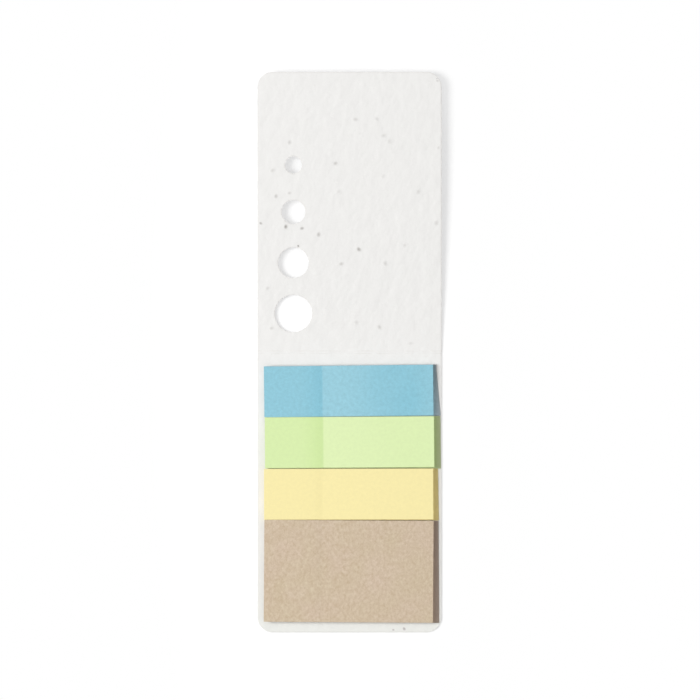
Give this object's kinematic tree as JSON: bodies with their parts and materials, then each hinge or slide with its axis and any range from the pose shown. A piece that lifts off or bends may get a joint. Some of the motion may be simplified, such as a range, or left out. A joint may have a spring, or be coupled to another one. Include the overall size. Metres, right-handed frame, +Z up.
{
  "type": "seed paper memo holder",
  "caption": "Folded seed paper cover lying open, with round windows in its raised flap, sticky colour flag pads and a kraft note pad glued to the lower panel",
  "frame": {"origin": "on the table under the middle of the crease, which is the middle of the open cover", "axes": "+Y along the raised flap with the windows, -Y along the panel with the pads, +X towards the pads' free ends, +Z up out of the table"},
  "size_m": [0.0544, 0.1658, 0.0036],
  "materials": {
    "seed_paper": "matt, uncoated, with pressed seeds",
    "blue_paper": "matt, dyed",
    "green_paper": "matt, dyed",
    "yellow_paper": "matt, dyed",
    "kraft_paper": "matt, unbleached"
  },
  "bodies": {
    "root": {"seed_paper_cover": "seed_paper", "blue_flag_pad": "blue_paper", "green_flag_pad": "green_paper", "yellow_flag_pad": "yellow_paper", "kraft_note_pad": "kraft_paper"}
  },
  "joints": []
}
